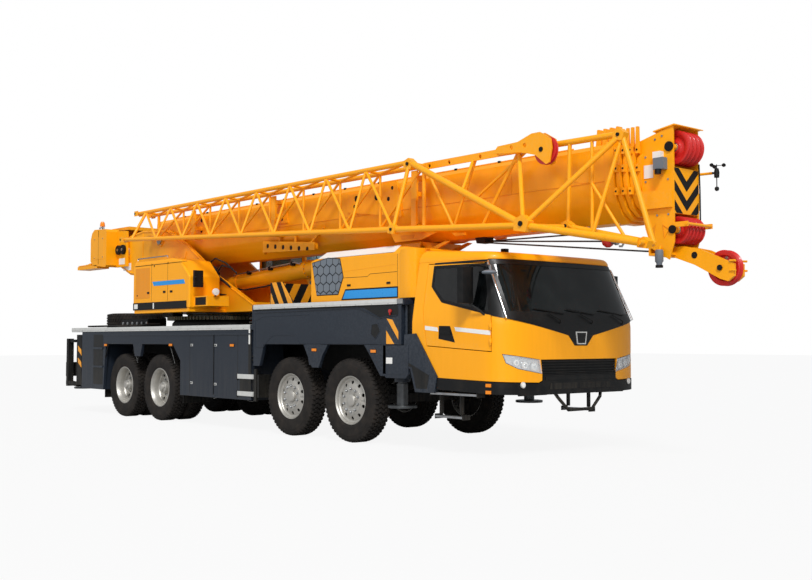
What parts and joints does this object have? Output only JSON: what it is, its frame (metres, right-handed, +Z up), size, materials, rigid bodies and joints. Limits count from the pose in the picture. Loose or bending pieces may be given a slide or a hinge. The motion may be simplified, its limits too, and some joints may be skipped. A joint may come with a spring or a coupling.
{
  "type": "mobile crane",
  "caption": "Wheeled mobile crane: a low carrier with cab, decks and outriggers, a slewing deck with operator's cab, a telescopic boom and a lattice jib stowed beside it.",
  "frame": {"origin": "middle of the footprint, on the ground", "axes": "+X forwards along the carrier, +Y to the vehicle's left, +Z up"},
  "size_m": [15.9318, 3.192, 4.13],
  "materials": {
    "yellow_paint": "glossy warm yellow enamel, slightly worn on edges",
    "slate_paint": "satin dark blue-grey enamel",
    "silver_trim": "bright brushed edge strips and steps",
    "black_parts": "black moulded plastic and black painted running gear",
    "tyre": "matt black tread rubber",
    "rim": "silver wheel discs",
    "steel": "bare and galvanised steel",
    "red_paint": "red nylon and enamel sheaves",
    "glass": "tinted safety glass",
    "blue_stripe": "bright blue stripe",
    "seat_cloth": "dark grey woven seat cloth"
  },
  "bodies": {
    "carrier": {"chassis_frame": "slate_paint", "deck": "slate_paint", "front_fender_left": "slate_paint", "front_fender_right": "slate_paint", "rear_body_left": "slate_paint", "rear_body_right": "slate_paint", "axle_1": "black_parts", "axle_2": "black_parts", "axle_3": "black_parts", "axle_4": "black_parts", "spare_wheel": "tyre", "engine_block": "steel", "engine_hood": "yellow_paint", "boom_rest": "yellow_paint", "carrier_cab": "yellow_paint", "windscreen": "glass", "cab_seats": "seat_cloth", "front_bumper": "black_parts"},
    "steering_1_left": {"knuckle_1_left": "black_parts"},
    "wheel_1_left": {"wheel_1_left": "tyre"},
    "steering_1_right": {"knuckle_1_right": "black_parts"},
    "wheel_1_right": {"wheel_1_right": "tyre"},
    "steering_2_left": {"knuckle_2_left": "black_parts"},
    "wheel_2_left": {"wheel_2_left": "tyre"},
    "steering_2_right": {"knuckle_2_right": "black_parts"},
    "wheel_2_right": {"wheel_2_right": "tyre"},
    "twin_wheel_3_left": {"twin_wheel_3_left": "tyre"},
    "twin_wheel_3_right": {"twin_wheel_3_right": "tyre"},
    "twin_wheel_4_left": {"twin_wheel_4_left": "tyre"},
    "twin_wheel_4_right": {"twin_wheel_4_right": "tyre"},
    "cab_door_left": {"cab_door_left": "yellow_paint", "mirror_left": "black_parts"},
    "cab_door_right": {"cab_door_right": "yellow_paint", "mirror_right": "black_parts"},
    "outrigger_beam_front_left": {"outrigger_beam_front_left": "slate_paint"},
    "outrigger_jack_front_left": {"outrigger_jack_front_left": "steel"},
    "outrigger_beam_front_right": {"outrigger_beam_front_right": "slate_paint"},
    "outrigger_jack_front_right": {"outrigger_jack_front_right": "steel"},
    "outrigger_beam_rear_left": {"outrigger_beam_rear_left": "slate_paint"},
    "outrigger_jack_rear_left": {"outrigger_jack_rear_left": "steel"},
    "outrigger_beam_rear_right": {"outrigger_beam_rear_right": "slate_paint"},
    "outrigger_jack_rear_right": {"outrigger_jack_rear_right": "steel"},
    "superstructure": {"turntable": "yellow_paint", "side_housing": "yellow_paint", "counterweight": "yellow_paint", "operator_cab": "yellow_paint"},
    "operator_door": {"operator_door": "yellow_paint"},
    "main_winch": {"winch_main": "steel"},
    "auxiliary_winch": {"winch_auxiliary": "steel"},
    "lift_barrel": {"lift_barrel": "yellow_paint"},
    "lift_rod": {"lift_rod": "steel"},
    "boom_base": {"boom_base": "yellow_paint", "lattice_jib": "yellow_paint"},
    "boom_section_2": {"boom_section_2": "yellow_paint"},
    "boom_section_3": {"boom_section_3": "yellow_paint"},
    "boom_section_4": {"boom_section_4": "yellow_paint"},
    "boom_tip": {"boom_tip": "yellow_paint"},
    "head_sheaves": {"head_sheaves": "red_paint"},
    "lower_sheaves": {"lower_sheaves": "red_paint"},
    "nose_sheave": {"nose_sheave": "red_paint"}
  },
  "joints": [
    {"name": "steer_1_left", "type": "hinge", "parent": "carrier", "child": "steering_1_left", "pos_m": [2.38408, 0.85, 0.613], "axis": [0, 0, 1], "range_deg": [-32, 32]},
    {"name": "spin_1_left", "type": "hinge", "parent": "steering_1_left", "child": "wheel_1_left", "pos_m": [2.38408, 1.175, 0.613], "axis": [0, 1, 0], "continuous": true},
    {"name": "steer_1_right", "type": "hinge", "parent": "carrier", "child": "steering_1_right", "pos_m": [2.38408, -0.85, 0.613], "axis": [0, 0, 1], "range_deg": [-32, 32]},
    {"name": "spin_1_right", "type": "hinge", "parent": "steering_1_right", "child": "wheel_1_right", "pos_m": [2.38408, -1.175, 0.613], "axis": [0, 1, 0], "continuous": true},
    {"name": "steer_2_left", "type": "hinge", "parent": "carrier", "child": "steering_2_left", "pos_m": [0.88408, 0.85, 0.613], "axis": [0, 0, 1], "range_deg": [-23, 23]},
    {"name": "spin_2_left", "type": "hinge", "parent": "steering_2_left", "child": "wheel_2_left", "pos_m": [0.88408, 1.175, 0.613], "axis": [0, 1, 0], "continuous": true},
    {"name": "steer_2_right", "type": "hinge", "parent": "carrier", "child": "steering_2_right", "pos_m": [0.88408, -0.85, 0.613], "axis": [0, 0, 1], "range_deg": [-23, 23]},
    {"name": "spin_2_right", "type": "hinge", "parent": "steering_2_right", "child": "wheel_2_right", "pos_m": [0.88408, -1.175, 0.613], "axis": [0, 1, 0], "continuous": true},
    {"name": "spin_3_left", "type": "hinge", "parent": "carrier", "child": "twin_wheel_3_left", "pos_m": [-3.30592, 0.99, 0.613], "axis": [0, 1, 0], "continuous": true},
    {"name": "spin_3_right", "type": "hinge", "parent": "carrier", "child": "twin_wheel_3_right", "pos_m": [-3.30592, -0.99, 0.613], "axis": [0, 1, 0], "continuous": true},
    {"name": "spin_4_left", "type": "hinge", "parent": "carrier", "child": "twin_wheel_4_left", "pos_m": [-4.72592, 0.99, 0.613], "axis": [0, 1, 0], "continuous": true},
    {"name": "spin_4_right", "type": "hinge", "parent": "carrier", "child": "twin_wheel_4_right", "pos_m": [-4.72592, -0.99, 0.613], "axis": [0, 1, 0], "continuous": true},
    {"name": "cab_door_left_open", "type": "hinge", "parent": "carrier", "child": "cab_door_left", "pos_m": [5.28808, 1.372, 1.6], "axis": [0, 0, -1], "range_deg": [0, 68]},
    {"name": "cab_door_right_open", "type": "hinge", "parent": "carrier", "child": "cab_door_right", "pos_m": [5.28808, -1.372, 1.6], "axis": [0, 0, 1], "range_deg": [0, 68]},
    {"name": "outrigger_front_left_slide", "type": "slide", "parent": "carrier", "child": "outrigger_beam_front_left", "axis": [0, 1, 0], "range_m": [0, 1.6]},
    {"name": "jack_front_left_down", "type": "slide", "parent": "outrigger_beam_front_left", "child": "outrigger_jack_front_left", "axis": [0, 0, -1], "range_m": [0, 0.6]},
    {"name": "outrigger_front_right_slide", "type": "slide", "parent": "carrier", "child": "outrigger_beam_front_right", "axis": [0, -1, 0], "range_m": [0, 1.6]},
    {"name": "jack_front_right_down", "type": "slide", "parent": "outrigger_beam_front_right", "child": "outrigger_jack_front_right", "axis": [0, 0, -1], "range_m": [0, 0.6]},
    {"name": "outrigger_rear_left_slide", "type": "slide", "parent": "carrier", "child": "outrigger_beam_rear_left", "axis": [0, 1, 0], "range_m": [0, 1.6]},
    {"name": "jack_rear_left_down", "type": "slide", "parent": "outrigger_beam_rear_left", "child": "outrigger_jack_rear_left", "axis": [0, 0, -1], "range_m": [0, 0.54]},
    {"name": "outrigger_rear_right_slide", "type": "slide", "parent": "carrier", "child": "outrigger_beam_rear_right", "axis": [0, -1, 0], "range_m": [0, 1.6]},
    {"name": "jack_rear_right_down", "type": "slide", "parent": "outrigger_beam_rear_right", "child": "outrigger_jack_rear_right", "axis": [0, 0, -1], "range_m": [0, 0.54]},
    {"name": "slew", "type": "hinge", "parent": "carrier", "child": "superstructure", "pos_m": [-3.11592, 0, 2], "axis": [0, 0, 1], "continuous": true},
    {"name": "operator_door_slide", "type": "slide", "parent": "superstructure", "child": "operator_door", "axis": [-1, 0, 0], "range_m": [0, 0.6]},
    {"name": "main_winch_turn", "type": "hinge", "parent": "superstructure", "child": "main_winch", "pos_m": [-5.81592, 0, 3.4], "axis": [0, 1, 0], "continuous": true},
    {"name": "auxiliary_winch_turn", "type": "hinge", "parent": "superstructure", "child": "auxiliary_winch", "pos_m": [-6.34592, 0, 3.34], "axis": [0, 1, 0], "continuous": true},
    {"name": "boom_luff", "type": "hinge", "parent": "superstructure", "child": "boom_base", "pos_m": [-4.76592, 0, 3.5], "axis": [0, -1, 0], "range_deg": [0, 80]},
    {"name": "lift_barrel_turn", "type": "hinge", "parent": "superstructure", "child": "lift_barrel", "pos_m": [-2.91592, 0, 2.55], "axis": [0, -1, 0], "range_deg": [0, 90]},
    {"name": "lift_rod_slide", "type": "slide", "parent": "lift_barrel", "child": "lift_rod", "axis": [0.9978, 0, 0.066], "range_m": [0, 2.62]},
    {"name": "telescope_1", "type": "slide", "parent": "boom_base", "child": "boom_section_2", "axis": [1, 0, 0], "range_m": [0, 8.9]},
    {"name": "telescope_2", "type": "slide", "parent": "boom_section_2", "child": "boom_section_3", "axis": [1, 0, 0], "range_m": [0, 8.9]},
    {"name": "telescope_3", "type": "slide", "parent": "boom_section_3", "child": "boom_section_4", "axis": [1, 0, 0], "range_m": [0, 8.9]},
    {"name": "telescope_4", "type": "slide", "parent": "boom_section_4", "child": "boom_tip", "axis": [1, 0, 0], "range_m": [0, 8.9]},
    {"name": "head_sheaves_turn", "type": "hinge", "parent": "boom_tip", "child": "head_sheaves", "pos_m": [7.18408, 0, 3.79], "axis": [0, 1, 0], "continuous": true},
    {"name": "lower_sheaves_turn", "type": "hinge", "parent": "boom_tip", "child": "lower_sheaves", "pos_m": [7.21908, 0, 2.795], "axis": [0, 1, 0], "continuous": true},
    {"name": "nose_sheave_turn", "type": "hinge", "parent": "boom_tip", "child": "nose_sheave", "pos_m": [7.75408, 0, 2.32], "axis": [0, 1, 0], "continuous": true}
  ],
  "couplings": [
    {"joint": "steer_1_right", "follows": "steer_1_left", "ratio": 1},
    {"joint": "steer_2_left", "follows": "steer_1_left", "ratio": 0.7},
    {"joint": "steer_2_right", "follows": "steer_1_left", "ratio": 0.7},
    {"joint": "lift_barrel_turn", "follows": "boom_luff", "ratio": 1.1045},
    {"joint": "lift_rod_slide", "follows": "boom_luff", "m_per_rad": 1.8557},
    {"joint": "telescope_2", "follows": "telescope_1", "ratio": 1},
    {"joint": "telescope_3", "follows": "telescope_1", "ratio": 1},
    {"joint": "telescope_4", "follows": "telescope_1", "ratio": 1}
  ]
}
